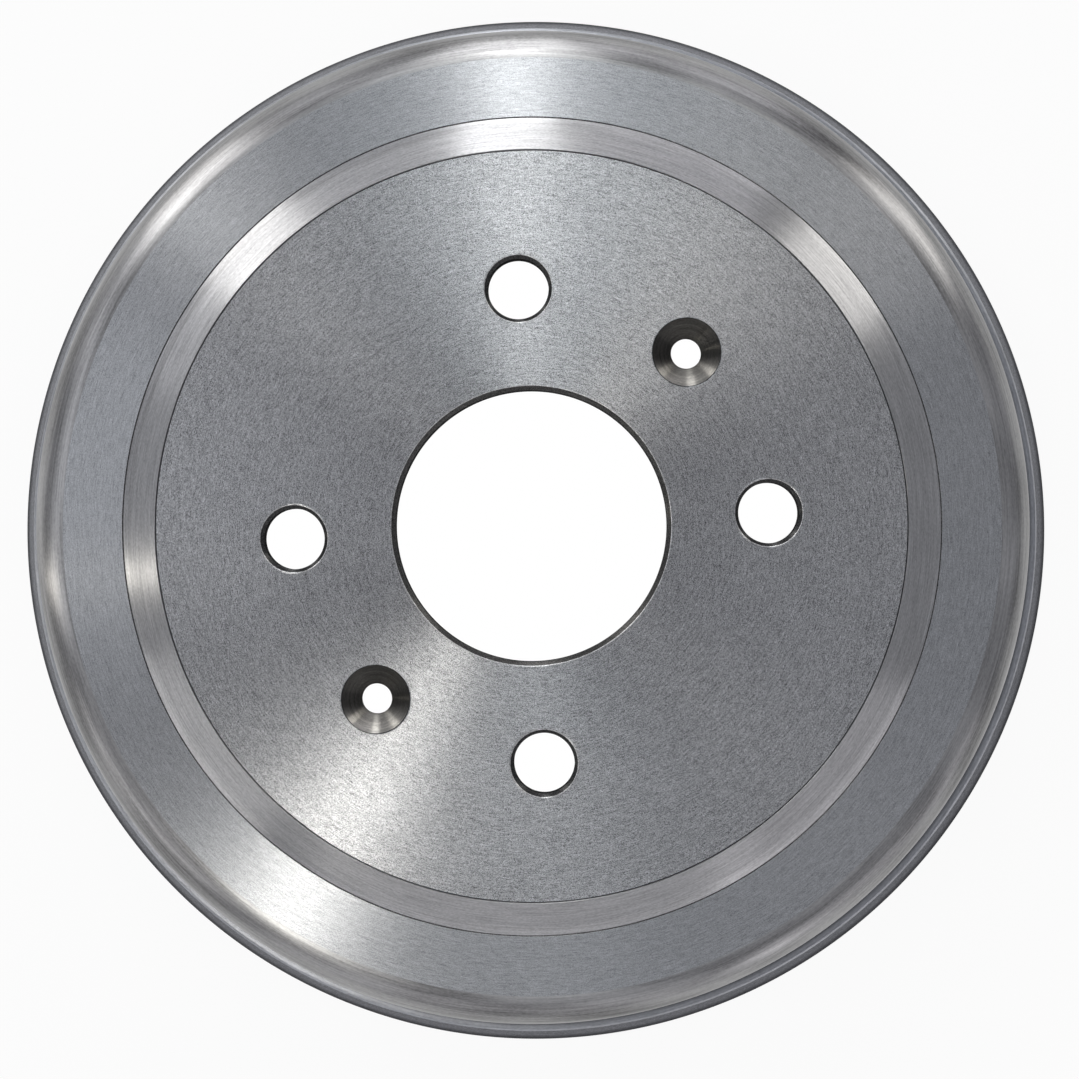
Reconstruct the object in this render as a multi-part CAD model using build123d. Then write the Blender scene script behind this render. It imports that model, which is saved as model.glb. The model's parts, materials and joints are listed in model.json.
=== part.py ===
from build123d import *
from math import radians, tan
import os

# Rear brake drum for a passenger car: one iron casting, turned on its wheel side and bored inside.
# Millimetres. The axis is +Z: the open rim stands on z = 0 and the wheel face is at the top.

# Drum and friction surface
drum_height = 58.0
friction_diameter = 200.0
barrel_wall = 6.0
barrel_draft = 1.0  # degrees, wider towards the open rim

# Plate: the raised face that the wheel bears on, the sloping band round it and the shoulder
wheel_face_diameter = 158.0
plate_thickness = 6.5
band_angle = 25.0  # degrees below the wheel face
band_foot_width = 1.75  # narrow steeper run at the foot of the band
band_foot_angle = 32.0
shoulder_drop = 3.6
shoulder_thickness = 5.4
corner_radius = 6.8  # where the shoulder turns down into the barrel

# Fine grooves where one turning pass meets the next
pass_line_width = 0.32
pass_line_depth = 0.2
foot_line_width = 0.3
foot_line_depth = 0.15

# Flange round the open rim
flange_projection = 10.5
flange_height = 15.0
flange_root = 3.0  # height and width of the sloping run from the barrel to the flange
flange_flare = 18.0  # degrees off the axis, above the land
flange_edge_break = 0.5
flange_land = 4.0
rim_chamfer = 1.0

# Groove in the rim, where the lip of the backing plate runs
lip_wall = 4.4
lip_setback = 1.0
rim_groove_width = 3.6
rim_groove_depth = 5.0

# Inside: entry chamfer, run-out relief above the friction surface, and the seat for the hub
entry_chamfer = 1.5
relief_depth = 0.8
relief_height = 5.5
inner_corner = 3.5
hub_seat_diameter = 144.0

# Holes through the plate
bore_diameter = 57.2
bore_chamfer = 0.9
bolt_circle = 100.0
bolt_hole_count = 4
bolt_hole_diameter = 12.8
bolt_hole_chamfer = 0.75
screw_circle = 98.0
screw_hole_count = 2
screw_hole_angle = 45.0  # degrees from the first wheel-bolt hole
screw_hole_diameter = 6.4
screw_head_diameter = 14.4
screw_head_angle = 90.0
hub_side_chamfer = 0.4

cut_margin = 2.0  # how far a cutting tool runs past the face that it enters

# Heights and radii that several features share
friction_radius = friction_diameter / 2
barrel_radius = friction_radius + barrel_wall
wheel_face_radius = wheel_face_diameter / 2
band_top_radius = wheel_face_radius + pass_line_width
band_slope = tan(radians(band_angle))
foot_drop = band_foot_width * tan(radians(band_foot_angle))
band_knee = band_top_radius + (shoulder_drop - foot_drop) / band_slope
band_foot = band_knee + band_foot_width
shoulder_z = drum_height - shoulder_drop
shoulder_underside_z = shoulder_z - shoulder_thickness
hub_seat_z = drum_height - plate_thickness


def turned(corners_and_roundings):
    """The solid that a closed outline sweeps round the axis, from ((radius, height), rounding) corners."""
    corners, roundings = zip(*corners_and_roundings)
    outline = FilletPolyline(*corners, radius=roundings, close=True)
    return revolve(Plane.XZ * make_face(outline), Axis.Z)


def outer_form():
    """Everything outside: wheel face, band, shoulder, rounded corner, barrel and flange."""
    root_z = flange_height + flange_root
    root_radius = barrel_radius + (shoulder_z - root_z) * tan(radians(barrel_draft))
    flange_radius = barrel_radius + flange_projection
    edge_z = flange_height - flange_edge_break
    edge_radius = flange_radius - (edge_z - flange_land) * tan(radians(flange_flare))
    return turned([
        ((0, 0), 0),
        ((0, drum_height), 0),
        ((band_top_radius, drum_height), 0),
        ((band_knee, shoulder_z + foot_drop), 0),
        ((band_foot, shoulder_z), 0),
        ((barrel_radius, shoulder_z), corner_radius),
        ((root_radius, root_z), 0),
        ((root_radius + flange_root, flange_height), 0),
        ((edge_radius - flange_edge_break, flange_height), 0),
        ((edge_radius, edge_z), 0),
        ((flange_radius, flange_land), 0),
        ((flange_radius, rim_chamfer), 0),
        ((flange_radius - rim_chamfer, 0), 0),
    ])


def inside_form():
    """The hollow: entry chamfer, friction surface, run-out relief, plate underside and hub seat."""
    relief_radius = friction_radius + relief_depth
    relief_z = shoulder_underside_z - relief_height
    seat_radius = hub_seat_diameter / 2
    seat_foot = seat_radius + (hub_seat_z - shoulder_underside_z) / band_slope
    mouth_radius = friction_radius + entry_chamfer + lip_setback + cut_margin
    return turned([
        ((0, -cut_margin), 0),
        ((mouth_radius, -cut_margin), 0),
        ((friction_radius, lip_setback + entry_chamfer), 0),
        ((friction_radius, relief_z - relief_depth), 0),
        ((relief_radius, relief_z), 0),
        ((relief_radius, shoulder_underside_z - inner_corner), 0),
        ((relief_radius - inner_corner, shoulder_underside_z), 0),
        ((seat_foot, shoulder_underside_z), 0),
        ((seat_radius, hub_seat_z), 0),
        ((0, hub_seat_z), 0),
    ])


def rim_groove():
    """The groove round the open rim, with the lip inside it cut a little short."""
    inner_radius = friction_radius + lip_wall
    outer_radius = inner_radius + rim_groove_width
    return turned([
        ((friction_radius, -cut_margin), 0),
        ((outer_radius, -cut_margin), 0),
        ((outer_radius, rim_groove_depth), 0),
        ((inner_radius, rim_groove_depth), 0),
        ((inner_radius, lip_setback), 0),
        ((friction_radius, lip_setback), 0),
    ])


def pass_line(inner_radius, z, width, depth):
    """A fine V groove round the axis, cut down from height z."""
    return turned([
        ((inner_radius, z), 0),
        ((inner_radius, z + cut_margin), 0),
        ((inner_radius + width, z + cut_margin), 0),
        ((inner_radius + width, z), 0),
        ((inner_radius + width / 2, z - depth), 0),
    ])


def plate_hole(radius, mouth_radius, mouth_depth):
    """The cutter for a hole in the plate, on the axis: wide at the wheel face, edge broken below."""
    flare = (mouth_radius - radius) / mouth_depth
    return turned([
        ((0, hub_seat_z - cut_margin), 0),
        ((radius + hub_side_chamfer + cut_margin, hub_seat_z - cut_margin), 0),
        ((radius, hub_seat_z + hub_side_chamfer), 0),
        ((radius, drum_height - mouth_depth), 0),
        ((mouth_radius + cut_margin * flare, drum_height + cut_margin), 0),
        ((0, drum_height + cut_margin), 0),
    ])


def centre_bore():
    radius = bore_diameter / 2
    return plate_hole(radius, radius + bore_chamfer, bore_chamfer)


def wheel_bolt_holes():
    radius = bolt_hole_diameter / 2
    hole = plate_hole(radius, radius + bolt_hole_chamfer, bolt_hole_chamfer)
    return PolarLocations(bolt_circle / 2, bolt_hole_count) * hole


def retaining_screw_holes():
    radius = screw_hole_diameter / 2
    head_radius = screw_head_diameter / 2
    head_depth = (head_radius - radius) / tan(radians(screw_head_angle / 2))
    hole = plate_hole(radius, head_radius, head_depth)
    return PolarLocations(screw_circle / 2, screw_hole_count, start_angle=screw_hole_angle) * hole


drum = outer_form() - inside_form() - rim_groove()
drum -= pass_line(wheel_face_radius, drum_height, pass_line_width, pass_line_depth)
drum -= pass_line(band_foot, shoulder_z, foot_line_width, foot_line_depth)
drum -= centre_bore()
drum -= wheel_bolt_holes()
drum -= retaining_screw_holes()

os.makedirs("parts", exist_ok=True)
export_step(drum, "parts/brake_drum.step")
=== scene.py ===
import bpy
import json
import math
from mathutils import Matrix, Vector
from mathutils.geometry import delaunay_2d_cdt


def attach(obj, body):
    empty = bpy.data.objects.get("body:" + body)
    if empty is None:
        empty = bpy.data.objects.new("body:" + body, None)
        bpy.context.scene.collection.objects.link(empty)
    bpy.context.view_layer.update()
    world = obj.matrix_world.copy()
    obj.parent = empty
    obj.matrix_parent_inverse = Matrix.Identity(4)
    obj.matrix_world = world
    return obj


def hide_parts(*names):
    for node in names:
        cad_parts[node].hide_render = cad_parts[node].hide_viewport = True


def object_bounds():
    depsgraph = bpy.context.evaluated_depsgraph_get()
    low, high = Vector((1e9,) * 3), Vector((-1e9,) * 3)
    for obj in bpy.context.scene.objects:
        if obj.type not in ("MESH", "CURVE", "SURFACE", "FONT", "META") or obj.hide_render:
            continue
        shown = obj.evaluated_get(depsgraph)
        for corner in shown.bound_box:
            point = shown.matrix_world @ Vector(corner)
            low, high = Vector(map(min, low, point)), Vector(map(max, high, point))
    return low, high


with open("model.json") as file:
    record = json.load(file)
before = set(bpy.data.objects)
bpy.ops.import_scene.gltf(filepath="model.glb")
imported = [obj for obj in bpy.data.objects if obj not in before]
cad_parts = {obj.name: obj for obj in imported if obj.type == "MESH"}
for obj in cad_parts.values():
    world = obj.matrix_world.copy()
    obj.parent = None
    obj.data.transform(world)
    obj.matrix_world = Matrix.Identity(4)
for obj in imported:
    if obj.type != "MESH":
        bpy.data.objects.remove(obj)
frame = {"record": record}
cadLow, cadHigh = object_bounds()
mounts = {m["name"]: m for m in frame["record"]["mounts"]}
mm = 0.001
print("frame loaded, the drum is", [round(v / mm, 1) for v in cadHigh - cadLow], "mm")

# shape of the drum in mm: what the record states comes from its mounts, the rest are the casting's own sizes
drum = {
    "height": (cadHigh.z - cadLow.z) / mm,
    "flangeRadius": (cadHigh.x - cadLow.x) / 2 / mm,
    "frictionRadius": mounts["friction_surface"]["dims"]["r_mm"],
    "hubSeatZ": mounts["hub_face"]["pos_m"][2] / mm,
    "hubSeatRadius": 72.0,
    "wheelFaceRadius": 79.0,
    "bandAngle": 25.0,
    "bandFoot": (1.75, 32.0),       # width and angle of the steeper run at the foot of the band
    "passLine": (0.32, 0.2),        # width and depth of the groove round the wheel face
    "footLine": (0.3, 0.15),        # the same at the foot of the band
    "shoulderZ": 54.4,
    "shoulderUnderZ": 49.0,
    "shoulderLean": 3.5,            # degrees that its tool marks face outwards, in the shading only
    "barrelRadius": 106.0,
    "barrelFootRadius": 106.635,
    "flangeTopZ": 15.0,
    "flangeRoot": 3.0,
    "flangeFlare": 18.0,            # degrees off the axis
    "flangeEdgeBreak": 0.5,
    "flangeLandZ": 4.0,
    "rimChamfer": 1.0,
    "grooveRadii": (104.4, 108.0),
    "grooveDepth": 5.0,
    "lipZ": 1.0,
    "entryChamfer": 1.5,
    "reliefRadius": 100.8,
    "reliefZ": 43.5,
    "innerCorner": 3.5,
    "hubSideChamfer": 0.4,          # of every hole through the plate
    "landing": 0.4,                 # flat that the section keeps at the wheel face and at the hub seat
    "holeLanding": 0.3,             # flat kept round each hole
}
rounds = {
    "edge": 0.1,                    # the turned edges
    "mouth": 0.25,                  # the holes in the wheel face
    "footLine": 0.1 / 3,            # outer edge of the line at the foot of the band
    "knee": 5.0,                    # between the band and its foot
    "corner": 6.8,                  # from the shoulder to the barrel
    "barrelFoot": 1.5,
    "flangeRoot": 1.0,
    "flange": 0.5,                  # upper edges of the flange
    "land": 1.0,                    # where the flange's wall turns upright
    "rim": 0.2,
    "groove": 0.4,
    "innerCorner": 1.5,
    "seatFoot": 0.5,
}
# holes through the plate, in mm and degrees: mouth is the depth of the 45 degree cut at the wheel face, and
# the finishes are those of the wall, the mouth and the mouth's edge
bore = {
    "radius": mounts["centre_bore"]["dims"]["r_mm"],
    "circle": 0.0,
    "count": 1,
    "turn": 0.0,
    "mouth": 0.9,
    "finishes": ("shadedHoleWall", "shadedBoreMouth", "edge"),
    "steps": 240,                   # segments round each hole
}
bolts = {
    "radius": mounts["wheel_bolt_holes"]["dims"]["hole_r_mm"],
    "circle": mounts["wheel_bolt_holes"]["dims"]["pcd_mm"] / 2,
    "count": mounts["wheel_bolt_holes"]["dims"]["count"],
    "turn": 0.0,
    "mouth": 0.75,
    "finishes": ("shadedHoleWall", "shadedHoleMouth", "edge"),
    "steps": 96,
}
screws = {
    "radius": mounts["retaining_screw_holes"]["dims"]["hole_r_mm"],
    "circle": mounts["retaining_screw_holes"]["dims"]["pcd_mm"] / 2,
    "count": mounts["retaining_screw_holes"]["dims"]["count"],
    "turn": 45.0,
    "mouth": 4.0,
    "finishes": ("shadedHoleWall", "paintedLightCountersink", "shadedScrewEdge"),
    "steps": 96,
}
mesh = {
    "steps": 480,                   # segments round the axis
    "arcStep": 7.0,                 # degrees between two rings of a rounding
    "fewestArcs": 2,                # runs in any rounding
    "fineRound": 1.0,               # below this many mm ...
    "fineArcs": 4,                  # ... a rounding has no more runs than this
    "fillKind": 0,                  # a flat is first filled out to the hull of its points
    "mergeWithin": 1e-6,            # mm, points of a flat that are nearer than this are one
}


def leftOf(direction):
    return Vector((-direction.y, direction.x))


# takes corners (radius, z, rounding, finish of the rounding, finish of the run after it)
# gives the lathe's rings (place, normal before it, normal after it, finish of the run after it)
def rounded(corners):
    rings = []
    for i, (r, z, rounding, own, after) in enumerate(corners):
        here = Vector((r, z))
        back = (here - Vector(corners[i - 1][:2])).normalized() if i else None
        ahead = (Vector(corners[i + 1][:2]) - here).normalized() if i + 1 < len(corners) else None
        if back is None or ahead is None or rounding == 0:
            rings.append((here, leftOf(back or ahead), leftOf(ahead or back), after))
            continue
        turn = math.atan2(back.x * ahead.y - back.y * ahead.x, back.dot(ahead))
        side = math.copysign(1, turn)
        start = here - back * rounding * math.tan(abs(turn) / 2)
        centre = start + leftOf(back) * rounding * side
        arcs = max(mesh["fewestArcs"], math.ceil(math.degrees(abs(turn)) / mesh["arcStep"]))
        if rounding < mesh["fineRound"]:
            arcs = min(arcs, mesh["fineArcs"])
        for k in range(arcs + 1):
            normal = leftOf(Matrix.Rotation(turn * k / arcs, 2) @ back)
            rings.append((centre - normal * rounding * side, normal, normal, after if k == arcs else own))
    return rings


# the section from the wheel face round the outside, the rim and the inside to the hub seat
def sectionCorners():
    d = drum
    face, seat = d["wheelFaceRadius"], d["hubSeatRadius"]
    friction, relief = d["frictionRadius"], d["reliefRadius"]
    barrelFoot, rim = d["barrelFootRadius"], d["flangeRadius"]
    top, shoulder, under, flangeTop = d["height"], d["shoulderZ"], d["shoulderUnderZ"], d["flangeTopZ"]
    lineWidth, lineDepth = d["passLine"]
    footWidth, footAngle = d["bandFoot"]
    footLineWidth, footLineDepth = d["footLine"]
    grooveIn, grooveOut = d["grooveRadii"]
    edge, soft = rounds["edge"], rounds["flange"]
    slope = math.tan(math.radians(d["bandAngle"]))
    lineOut = face + lineWidth
    footDrop = footWidth * math.tan(math.radians(footAngle))
    knee = lineOut + (top - shoulder - footDrop) / slope
    foot = knee + footWidth
    flangeEdgeZ = flangeTop - d["flangeEdgeBreak"]
    flangeEdge = rim - (flangeEdgeZ - d["flangeLandZ"]) * math.tan(math.radians(d["flangeFlare"]))
    seatFoot = seat + (d["hubSeatZ"] - under) / slope
    return [
        (face - d["landing"], top, 0, "wheelFace", "wheelFace"),
        (face, top, edge, "passLine", "passLine"),
        (face + lineWidth / 2, top - lineDepth, 0, "passLine", "band"),
        (lineOut, top, edge, "band", "band"),
        (knee, shoulder + footDrop, rounds["knee"], "bandFoot", "bandFoot"),
        (foot, shoulder, 0, "bandFoot", "footLine"),
        (foot + footLineWidth / 2, shoulder - footLineDepth, 0, "footLine", "footLine"),
        (foot + footLineWidth, shoulder, rounds["footLine"], "shoulder", "shoulder"),
        (d["barrelRadius"], shoulder, rounds["corner"], "corner", "barrel"),
        (barrelFoot, flangeTop + d["flangeRoot"], rounds["barrelFoot"], "barrel", "flangeTop"),
        (barrelFoot + d["flangeRoot"], flangeTop, rounds["flangeRoot"], "flangeTop", "flangeTop"),
        (flangeEdge - d["flangeEdgeBreak"], flangeTop, soft, "flangeTop", "flangeTop"),
        (flangeEdge, flangeEdgeZ, soft, "flangeWall", "flangeWall"),
        (rim, d["flangeLandZ"], rounds["land"], "flangeWall", "flangeWall"),
        (rim, d["rimChamfer"], rounds["rim"], "flangeWall", "flangeWall"),
        (rim - d["rimChamfer"], 0, rounds["rim"], "flangeWall", "groove"),
        (grooveOut, 0, edge, "groove", "groove"),
        (grooveOut, d["grooveDepth"], rounds["groove"], "groove", "groove"),
        (grooveIn, d["grooveDepth"], rounds["groove"], "groove", "groove"),
        (grooveIn, d["lipZ"], edge, "groove", "groove"),
        (friction + d["entryChamfer"], d["lipZ"], edge, "groove", "inside"),
        (friction, d["lipZ"] + d["entryChamfer"], edge, "friction", "friction"),
        (friction, d["reliefZ"] - (relief - friction), edge, "friction", "inside"),
        (relief, d["reliefZ"], 0, "inside", "inside"),
        (relief, under - d["innerCorner"], rounds["innerCorner"], "inside", "inside"),
        (relief - d["innerCorner"], under, rounds["innerCorner"], "inside", "inside"),
        (seatFoot, under, rounds["seatFoot"], "inside", "inside"),
        (seat, d["hubSeatZ"], edge, "inside", "inside"),
        (seat - d["landing"], d["hubSeatZ"], 0, "inside", "inside"),
    ]


# the wall of a hole through the plate, from the hub side up to the wheel face
def holeCorners(hole):
    seat, top, edge = drum["hubSeatZ"], drum["height"], rounds["edge"]
    hubSide = hole["radius"] + drum["hubSideChamfer"]
    mouthRadius = hole["radius"] + hole["mouth"]
    wall, mouth, mouthEdge = hole["finishes"]
    return [
        (hubSide + drum["holeLanding"], seat, 0, "inside", "inside"),
        (hubSide, seat, edge, "inside", "inside"),
        (hole["radius"], seat + drum["hubSideChamfer"], edge, wall, wall),
        (hole["radius"], top - hole["mouth"], edge, mouth, mouth),
        (mouthRadius, top, rounds["mouth"], mouthEdge, "wheelFace"),
        (mouthRadius + drum["holeLanding"], top, 0, "wheelFace", "wheelFace"),
    ]


# the mesh so far: each face has normals at its corners, a finish and the centre that it was turned about
verts, faces, faceNormals, faceFinish, faceCentre = [], [], [], [], []


# adds the rings of a section turned round an upright axis, and gives its first and its last ring of vertices
def lathe(corners, steps, centre=(0.0, 0.0)):
    cosSin = [(math.cos(2 * math.pi * j / steps), math.sin(2 * math.pi * j / steps)) for j in range(steps)]
    rings = rounded(corners)
    base = len(verts)
    for place in [ring[0] for ring in rings]:
        verts.extend((centre[0] + place.x * c, centre[1] + place.x * s, place.y) for c, s in cosSin)
    for i in range(len(rings) - 1):
        n0, n1, finish = rings[i][2], rings[i + 1][1], rings[i][3]    # normals at the ends of the run
        if finish == "shoulder":
            lean = Matrix.Rotation(-math.radians(drum["shoulderLean"]), 2)
            n0, n1 = lean @ n0, lean @ n1
        a, b = base + i * steps, base + (i + 1) * steps
        for j in range(steps):
            k = (j + 1) % steps
            (c0, s0), (c1, s1) = cosSin[j], cosSin[k]
            faces.append((a + j, b + j, b + k, a + k))
            faceNormals.append([(n0.x * c0, n0.x * s0, n0.y), (n1.x * c0, n1.x * s0, n1.y),
                                (n1.x * c1, n1.x * s1, n1.y), (n0.x * c1, n0.x * s1, n0.y)])
            faceFinish.append(finish)
            faceCentre.append((centre[0] * mm, centre[1] * mm, 0.0))
    last = base + (len(rings) - 1) * steps
    return list(range(base, base + steps)), list(range(last, last + steps))


# fills the flat between an outer ring and its holes, each (ring, centre, radius)
def plane(outer, holes, up, finish):
    loops = [outer] + [hole[0] for hole in holes]
    index = [v for loop in loops for v in loop]
    points = [Vector(verts[v][:2]) for v in index]
    edges, at = [], 0
    for loop in loops:
        edges += [(at + k, at + (k + 1) % len(loop)) for k in range(len(loop))]
        at += len(loop)
    filled = delaunay_2d_cdt(points, edges, [], mesh["fillKind"], mesh["mergeWithin"])
    placed, triangles, source = filled[0], filled[2], filled[3]
    for triangle in triangles:      # those inside a hole are left out
        middle = sum((placed[v] for v in triangle), Vector((0, 0))) / 3
        if any((middle - Vector(c)).length < r * math.cos(math.pi / len(ring)) for ring, c, r in holes):
            continue
        face = tuple(index[source[v][0]] for v in triangle)
        a, b, c = (Vector(verts[v][:2]) for v in face)
        if ((b - a).cross(c - a) > 0) != up:
            face = face[::-1]
        faces.append(face)
        faceNormals.append([(0.0, 0.0, 1.0 if up else -1.0)] * 3)
        faceFinish.append(finish)
        faceCentre.append((0.0, 0.0, 0.0))


# centres of a pattern's holes
def around(pattern):
    start, step = math.radians(pattern["turn"]), 2 * math.pi / pattern["count"]
    return [(pattern["circle"] * math.cos(start + step * k), pattern["circle"] * math.sin(start + step * k))
            for k in range(pattern["count"])]


def makeDrum():
    topRing, seatRing = lathe(sectionCorners(), mesh["steps"])
    topHoles, seatHoles = [], []
    for holes in (bore, bolts, screws):
        for centre in around(holes):
            low, high = lathe(holeCorners(holes), holes["steps"], centre)
            seatHoles.append((low, centre, holes["radius"] + drum["hubSideChamfer"] + drum["holeLanding"]))
            topHoles.append((high, centre, holes["radius"] + holes["mouth"] + drum["holeLanding"]))
    plane(topRing, topHoles, True, "wheelFace")
    plane(seatRing, seatHoles, False, "inside")
    data = bpy.data.meshes.new("brakeDrum")
    data.from_pydata([Vector(v) * mm for v in verts], [], faces)
    data.attributes.new("turnCentre", "FLOAT_VECTOR", "FACE").data.foreach_set(
        "vector", [x for centre in faceCentre for x in centre])
    data.polygons.foreach_set("use_smooth", [True] * len(faces))
    data.normals_split_custom_set([n for corners in faceNormals for n in corners])
    made = bpy.data.objects.new("brakeDrumTurned", data)
    bpy.context.scene.collection.objects.link(made)
    return made


drumObject = makeDrum()
print("drum mesh built,", sum(len(f) - 2 for f in faces), "triangles")

# turned and cast surfaces, with sizes in mm: relief is the height of the grain and the lines
# grain, lines and clouds are (strength, size across the turning, size along it)
# fade is (axis, from, to, factor): between two radii "R", heights "Z" or places "Y" from the centre that the
# face was turned about, the colour falls to that factor
turned = {
    "color": (0.448, 0.45, 0.455),
    "metal": 1.0,
    "roughness": 0.28,
    "anisotropy": 0.895,
    "grain": (1.1, 0.18, 0.27),
    "lines": (0.45, 0.2, 1.6),
    "clouds": (0.03, 9.0, 14.0),
    "relief": 0.003,
    "mottle": 0.02,                 # how far the roughness follows the lines
    "fade": ("R", 60.0, 28.0, 1.0),
}
bare = dict(turned, metal=0.0, anisotropy=0.0, grain=(0.6, 0.3, 0.5))
surfaces = {
    "wheelFace": dict(turned, color=(0.411, 0.415, 0.424), roughness=0.279, anisotropy=0.87,
                      grain=(1.3, 0.12, 0.2), lines=(0.72, 0.2, 2.4), fade=("R", 66.0, 30.0, 0.9)),
    # the groove round the wheel face is painted near black, painted shade in the groove
    "passLine": dict(turned, color=(0.06, 0.06, 0.063)),
    "band": dict(turned, color=(0.435, 0.435, 0.44), grain=(0.25, 0.2, 0.6), lines=(0.5, 0.25, 9.0)),
    "bandFoot": dict(turned, color=(0.55, 0.55, 0.555), grain=(0.25, 0.2, 0.6), lines=(0.5, 0.25, 9.0),
                     fade=("R", 86.2, 84.6, 0.84)),
    # the line at the foot of the band is painted dark, painted shade in the line
    "footLine": dict(turned, color=(0.2, 0.2, 0.2)),
    "shoulder": dict(turned, color=(0.41, 0.42, 0.435), roughness=0.287, anisotropy=0.93,
                     grain=(0.5, 0.12, 0.25), lines=(0.56, 0.17, 2.8)),
    # the rounded corner darkens from the shoulder down towards the barrel, painted shade
    "corner": dict(turned, color=(0.36, 0.358, 0.36), roughness=0.282, anisotropy=0.9,
                   grain=(0.2, 0.3, 0.8), lines=(0.55, 0.35, 16.0), clouds=(0.52, 3.2, 25.0),
                   relief=0.008, fade=("Z", 53.6, 51.0, 0.74)),
    "barrel": dict(turned, color=(0.3, 0.3, 0.31), roughness=0.34, grain=(0.3, 0.3, 1.2),
                   lines=(0.5, 0.5, 20.0)),
    # the flange's top darkens towards the barrel's foot, painted shade in that corner
    "flangeTop": dict(turned, color=(0.4, 0.412, 0.44), roughness=0.34, anisotropy=0.7,
                      grain=(0.2, 0.3, 1.0), lines=(0.4, 0.4, 8.0), fade=("R", 112.2, 110.9, 0.3)),
    # the flange's wall is dark cast iron, and it darkens further towards the floor, which is painted shade
    "flangeWall": dict(bare, color=(0.25, 0.255, 0.27), roughness=0.6, lines=(0.4, 0.4, 8.0),
                       fade=("Z", 10.5, 5.5, 0.4)),
    "groove": dict(turned, color=(0.3, 0.3, 0.31), roughness=0.32),
    "friction": dict(turned, color=(0.42, 0.42, 0.43), roughness=0.282, grain=(0.2, 0.25, 2.0),
                     lines=(0.5, 0.2, 30.0)),
    "inside": dict(turned, color=(0.32, 0.32, 0.33), roughness=0.32, lines=(0.45, 0.4, 10.0)),
    # the chamfers at the mouths of the holes are painted dark, painted shade in the hole mouths
    "shadedBoreMouth": dict(turned, color=(0.105, 0.103, 0.1), roughness=0.34, lines=(0.4, 0.25, 12.0)),
    "shadedHoleMouth": dict(turned, color=(0.08, 0.08, 0.08), roughness=0.34, lines=(0.4, 0.25, 8.0)),
    # the walls of the holes are painted near black, painted shade inside the holes
    "shadedHoleWall": dict(bare, color=(0.04, 0.04, 0.04), roughness=0.8),
    # the small turned edges are lighter than the faces beside them, a painted highlight along the edges
    "edge": dict(turned, color=(0.55, 0.55, 0.55), roughness=0.3, anisotropy=0.6),
    # the countersinks carry painted light: a raised colour at full strength only at their -Y edge is a
    # painted highlight, and the fade to 0.15 over the rest is painted shade
    "paintedLightCountersink": dict(turned, color=(0.6, 0.58, 0.54), roughness=0.3, anisotropy=0.9,
                        grain=(0.3, 0.25, 0.5), lines=(0.6, 0.4, 9.0), relief=0.04,
                        fade=("Y", -6.0, -0.5, 0.15)),
    # the edge round each countersink is painted near black, a painted line of shade
    "shadedScrewEdge": dict(turned, color=(0.05, 0.05, 0.05), roughness=0.3),
}
# how the three kinds of mark are made, with shifts that keep them apart
marks = {
    "grain": {"detail": 1.0, "shift": 3.1, "gain": 3.0},
    "lines": {"detail": 2.0, "shift": 17.7, "gain": 2.0},
    "clouds": {"detail": 0.6, "shift": 41.3, "gain": 3.0},
}
metal = {
    "noiseRoughness": 0.6,
    "noiseMiddle": 0.5,             # taken off the noise, so that it goes both ways from 0
    "darkest": 0.15,                # least share of the colour that the marks leave
    "grainHeight": 0.5,             # height of the grain beside that of the lines
    "quarterTurn": 0.25,            # the highlights lie across the turning
    "specular": 0.5,                # of metal, bare walls have none
}


# short calls for wiring one material's nodes
class Nodes:
    def __init__(self, name):
        self.material = bpy.data.materials.new(name)
        self.material.use_nodes = True
        self.tree = self.material.node_tree
        self.tree.nodes.clear()

    def add(self, kind, values=None, **settings):
        node = self.tree.nodes.new("ShaderNode" + kind)
        for key, value in settings.items():
            setattr(node, key, value)
        for key, value in (values or {}).items():
            if isinstance(value, bpy.types.NodeSocket):
                self.tree.links.new(value, node.inputs[key])
            else:
                node.inputs[key].default_value = value
        return node

    def math(self, operation, *values):
        return self.add("Math", dict(enumerate(values)), operation=operation).outputs[0]

    def vector(self, operation, *values):
        node = self.add("VectorMath", dict(enumerate(values)), operation=operation)
        return node.outputs["Value"] if operation == "LENGTH" else node.outputs["Vector"]

    def scale(self, vector, factor):
        return self.add("VectorMath", {0: vector, "Scale": factor}, operation="SCALE").outputs["Vector"]


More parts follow.
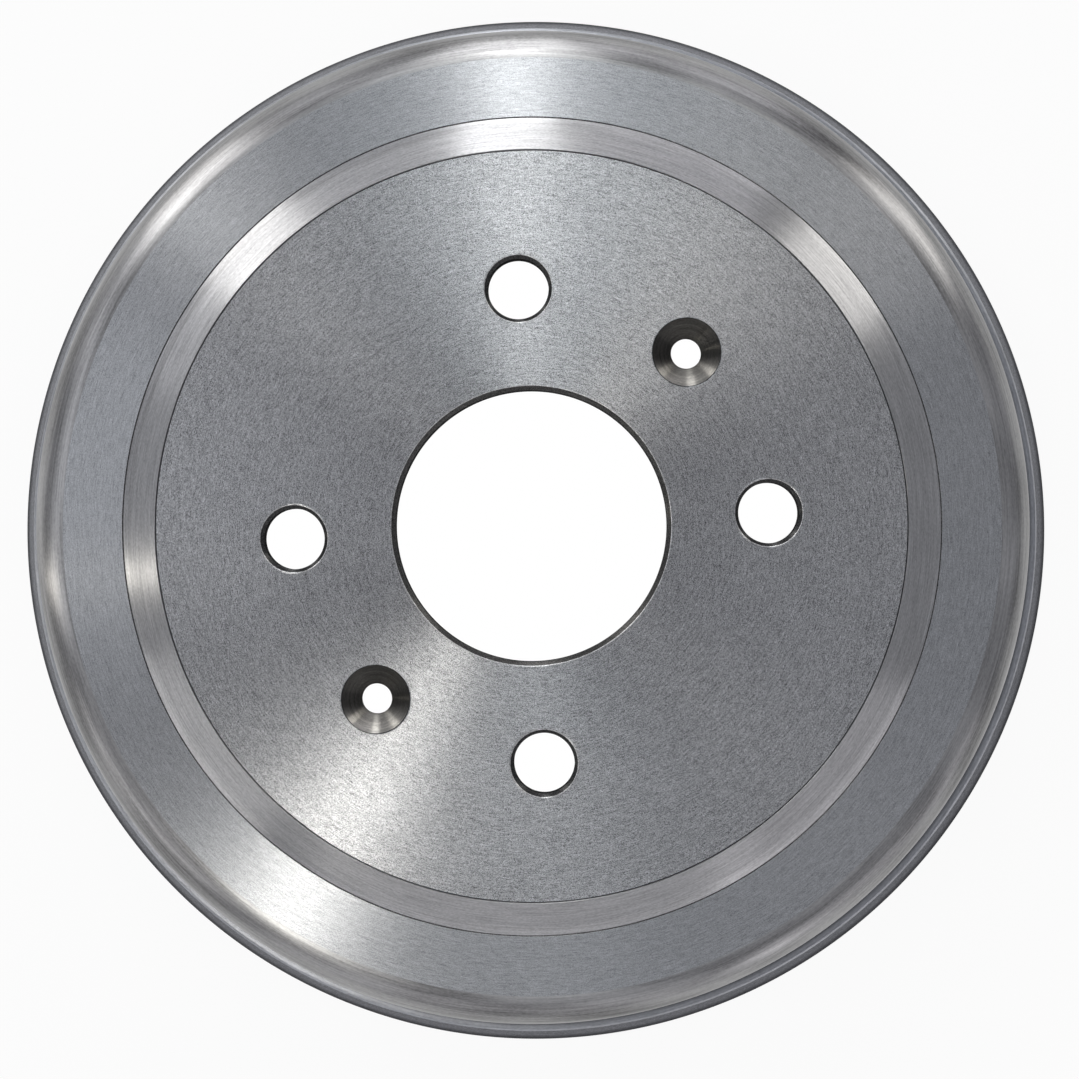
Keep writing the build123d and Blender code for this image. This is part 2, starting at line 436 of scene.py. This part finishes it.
# iron cut on a lathe: its marks run round the centre that each face was turned about
def turnedMetal(name, look):
    n = Nodes(name)
    place = n.add("TexCoord").outputs["Object"]
    centre = n.add("Attribute", attribute_type="GEOMETRY", attribute_name="turnCentre").outputs["Vector"]
    offset = n.scale(n.vector("SUBTRACT", place, centre), 1 / mm)
    parts = n.add("SeparateXYZ", {0: offset}).outputs
    radius = n.vector("LENGTH", n.add("CombineXYZ", {"X": parts["X"], "Y": parts["Y"]}).outputs[0])

    # noise in which a feature is across mm wide and along mm long round the axis
    def streaks(across, along, detail, shift):
        at = n.add("CombineXYZ", {"X": n.math("MULTIPLY_ADD", radius, 1 / across, shift),
                                  "Y": n.math("MULTIPLY", parts["X"], 1 / along),
                                  "Z": n.math("MULTIPLY", parts["Y"], 1 / along)}).outputs[0]
        upwards = n.math("MULTIPLY", parts["Z"], 1 / across)
        noise = n.add("TexNoise", {"Vector": at, "W": upwards, "Scale": 1.0, "Detail": detail,
                                   "Roughness": metal["noiseRoughness"]}, noise_dimensions="4D")
        return n.math("SUBTRACT", noise.outputs[0], metal["noiseMiddle"])

    shade, made = 1.0, {}
    for mark, way in marks.items():
        strength, across, along = look[mark]
        made[mark] = streaks(across, along, way["detail"], way["shift"])
        shade = n.math("MULTIPLY_ADD", made[mark], strength * way["gain"], shade)
    shade = n.math("MAXIMUM", shade, metal["darkest"])
    axis, start, end, factor = look["fade"]
    reach = radius if axis == "R" else parts[axis]
    fade = n.add("MapRange", {"Value": reach, "From Min": start, "From Max": end, "To Min": 1.0,
                              "To Max": factor}, interpolation_type="SMOOTHSTEP").outputs[0]
    tint = n.scale(look["color"], n.math("MULTIPLY", shade, fade))

    rough = n.math("MULTIPLY_ADD", made["lines"], look["mottle"], look["roughness"])
    height = n.math("ADD", n.math("MULTIPLY", made["grain"], metal["grainHeight"]), made["lines"])
    bump = n.add("Bump", {"Height": height, "Strength": 1.0, "Distance": look["relief"] * mm}).outputs[0]
    alongTurn = n.vector("NORMALIZE", n.vector("CROSS_PRODUCT", (0, 0, 1), offset))
    tangent = n.add("VectorTransform", {0: alongTurn}, vector_type="VECTOR",
                    convert_from="OBJECT", convert_to="WORLD").outputs[0]
    iron = n.add("BsdfPrincipled", {"Base Color": tint, "Metallic": look["metal"], "Roughness": rough,
                                    "Normal": bump, "Anisotropic": look["anisotropy"],
                                    "Anisotropic Rotation": metal["quarterTurn"],
                                    "Specular IOR Level": metal["specular"] * look["metal"],
                                    "Tangent": tangent})
    n.add("OutputMaterial", {"Surface": iron.outputs[0]})
    return n.material


finishes = list(surfaces)
for finish in finishes:
    drumObject.data.materials.append(turnedMetal(finish, surfaces[finish]))
drumObject.data.polygons.foreach_set("material_index", [finishes.index(f) for f in faceFinish])
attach(drumObject, "root")
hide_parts("brake_drum")
print("surfaces made:", ", ".join(finishes))

# the floor, in metres
floor = {
    "radius": 6.0,
    "sides": 64,
    "color": (0.82, 0.82, 0.82),
    "shade": 0.07,                  # how much of the shadow the white floor shows
    "cardRadius": 0.096,            # inside the drum the floor shows as plain white
}


def makeFloor():
    n = Nodes("floor")
    radius = n.vector("LENGTH", n.add("TexCoord").outputs["Object"])
    outside = n.math("GREATER_THAN", radius, floor["cardRadius"])
    rays = n.add("LightPath").outputs
    mirrored = n.math("MAXIMUM", rays["Is Glossy Ray"], rays["Is Transmission Ray"])
    seen = n.math("MAXIMUM", rays["Is Camera Ray"], mirrored)
    white = n.math("MULTIPLY", seen, n.math("MULTIPLY_ADD", outside, -floor["shade"], 1.0))
    matte = n.add("BsdfDiffuse", {"Color": (*floor["color"], 1)}).outputs[0]
    plain = n.add("Emission", {"Color": (1, 1, 1, 1), "Strength": 1.0}).outputs[0]
    n.add("OutputMaterial", {"Surface": n.add("MixShader", {0: white, 1: matte, 2: plain}).outputs[0]})
    disc = bpy.data.meshes.new("floor")
    turns = [2 * math.pi * k / floor["sides"] for k in range(floor["sides"])]
    corners = [(floor["radius"] * math.cos(turn), floor["radius"] * math.sin(turn), 0) for turn in turns]
    disc.from_pydata(corners, [], [tuple(range(floor["sides"]))])
    disc.materials.append(n.material)
    ground = bpy.data.objects.new("floor", disc)
    bpy.context.scene.collection.objects.link(ground)


# the camera: places in metres, lens and sensor in mm
view = {
    "position": (0.00858, -0.00973, 0.658),
    "target": (0.001587, -0.002983, 0.058),
    "up": (0.055, 0.998, 0.014),
    "lens": 95.27,
    "sensor": 36,
    "clip": (0.05, 50),
}


# the rotation that looks from position to target, with up at the top of the picture
def aimed(position, target, up):
    back = (Vector(position) - Vector(target)).normalized()
    right = Vector(up).cross(back).normalized()
    return Matrix((right, back.cross(right), back)).transposed().to_euler()


def makeCamera():
    camera = bpy.data.objects.new("camera", bpy.data.cameras.new("camera"))
    camera.data.lens = view["lens"]
    camera.data.sensor_width = view["sensor"]
    camera.data.clip_start, camera.data.clip_end = view["clip"]
    camera.location = view["position"]
    camera.rotation_euler = aimed(view["position"], view["target"], view["up"])
    bpy.context.scene.collection.objects.link(camera)
    bpy.context.scene.camera = camera


# azimuth round the axis and tilt from it in degrees, width and length in metres, glow is the panel's radiance
lamps = {
    "spot": dict(azimuth=230.2, tilt=16.7, size=(0.05, 0.11), glow=62.0, tint=(1.03, 1.0, 0.93)),
    "topHigh": dict(azimuth=90.5, tilt=10.0, size=(0.18, 0.1), glow=6.8, tint=(0.95, 1.01, 1.02)),
    "topMid": dict(azimuth=90.7, tilt=30.0, size=(0.05, 0.3), glow=18.5, tint=(1.0, 1.0, 0.98)),
    "topLow": dict(azimuth=91.0, tilt=63.1, size=(0.34, 1.6), glow=2.07, tint=(1.0, 1.0, 1.0)),
    "spotLow": dict(azimuth=235.0, tilt=34.0, size=(0.05, 0.3), glow=5.0, tint=(1.03, 1.0, 0.93)),
    "upMid": dict(azimuth=134.0, tilt=41.0, size=(0.04, 0.3), glow=10.5, tint=(1.0, 1.0, 0.98)),
    "right": dict(azimuth=37.8, tilt=60.0, size=(0.4, 1.2), glow=1.5, tint=(1.03, 1.0, 0.95)),
    "upLeft": dict(azimuth=131.8, tilt=62.1, size=(0.36, 1.6), glow=1.65, tint=(1.02, 1.0, 0.97)),
    "left": dict(azimuth=182.7, tilt=62.0, size=(0.05, 1.3), glow=3.8, tint=(1.05, 1.0, 0.9)),
    "lowLeft": dict(azimuth=209.2, tilt=64.9, size=(0.7, 0.1), glow=4.6, tint=(1.02, 1.0, 0.98)),
    "lowRight": dict(azimuth=313.6, tilt=65.4, size=(1.0, 0.38), glow=0.8, tint=(1.03, 0.99, 1.01)),
    "upRight": dict(azimuth=67.0, tilt=64.2, size=(0.69, 0.1), glow=4.24, tint=(1.01, 0.99, 1.03)),
    "fillLeft": dict(azimuth=168.7, tilt=30.9, size=(0.53, 0.78), glow=0.74, tint=(0.98, 1.0, 1.04)),
    "topWide": dict(azimuth=124.0, tilt=53.0, size=(1.5, 0.35), glow=1.1, tint=(1.0, 1.0, 1.03)),
    "lowMid": dict(azimuth=266.4, tilt=62.0, size=(1.8, 0.7), glow=0.42, tint=(1.02, 0.99, 1.0)),
}
studio = {
    "distance": 1.5,                # of every lamp from the middle of the floor
    "aim": (0, 0, 0.05),            # what every lamp faces
    "skyColor": (0.322, 0.325, 0.348),
    "horizon": 0.4,                 # how bright the horizon is beside the sky
    "rise": 0.35,                   # sine of the height where the sky is full
}


def makeLamps():
    for name, lamp in lamps.items():
        width, length = lamp["size"]
        data = bpy.data.lights.new(name, "AREA")
        data.shape = "RECTANGLE"
        data.size, data.size_y = width, length
        data.energy = lamp["glow"] * math.pi * width * length
        data.color = lamp["tint"]
        bulb = bpy.data.objects.new(name, data)
        a, t = math.radians(lamp["azimuth"]), math.radians(lamp["tilt"])
        towards = Vector((math.cos(a) * math.sin(t), math.sin(a) * math.sin(t), math.cos(t)))
        bulb.location = towards * studio["distance"]
        bulb.rotation_euler = aimed(bulb.location, studio["aim"], (math.cos(a), math.sin(a), 0))
        bpy.context.scene.collection.objects.link(bulb)


def makeSky():
    world = bpy.data.worlds.new("studio")
    world.use_nodes = True
    tree = world.node_tree
    direction = tree.nodes.new("ShaderNodeTexCoord")
    parts = tree.nodes.new("ShaderNodeSeparateXYZ")
    dimmed = tree.nodes.new("ShaderNodeMapRange")
    dimmed.inputs["From Max"].default_value = studio["rise"]
    dimmed.inputs["To Min"].default_value = studio["horizon"]
    tree.links.new(direction.outputs["Generated"], parts.inputs[0])
    tree.links.new(parts.outputs["Z"], dimmed.inputs["Value"])
    tree.links.new(dimmed.outputs[0], tree.nodes["Background"].inputs["Strength"])
    tree.nodes["Background"].inputs["Color"].default_value = (*studio["skyColor"], 1)
    bpy.context.scene.world = world


makeFloor()
makeCamera()
makeLamps()
makeSky()
bpy.context.scene.view_settings.view_transform = "Standard"
print("camera, floor and", len(lamps), "lamps set")
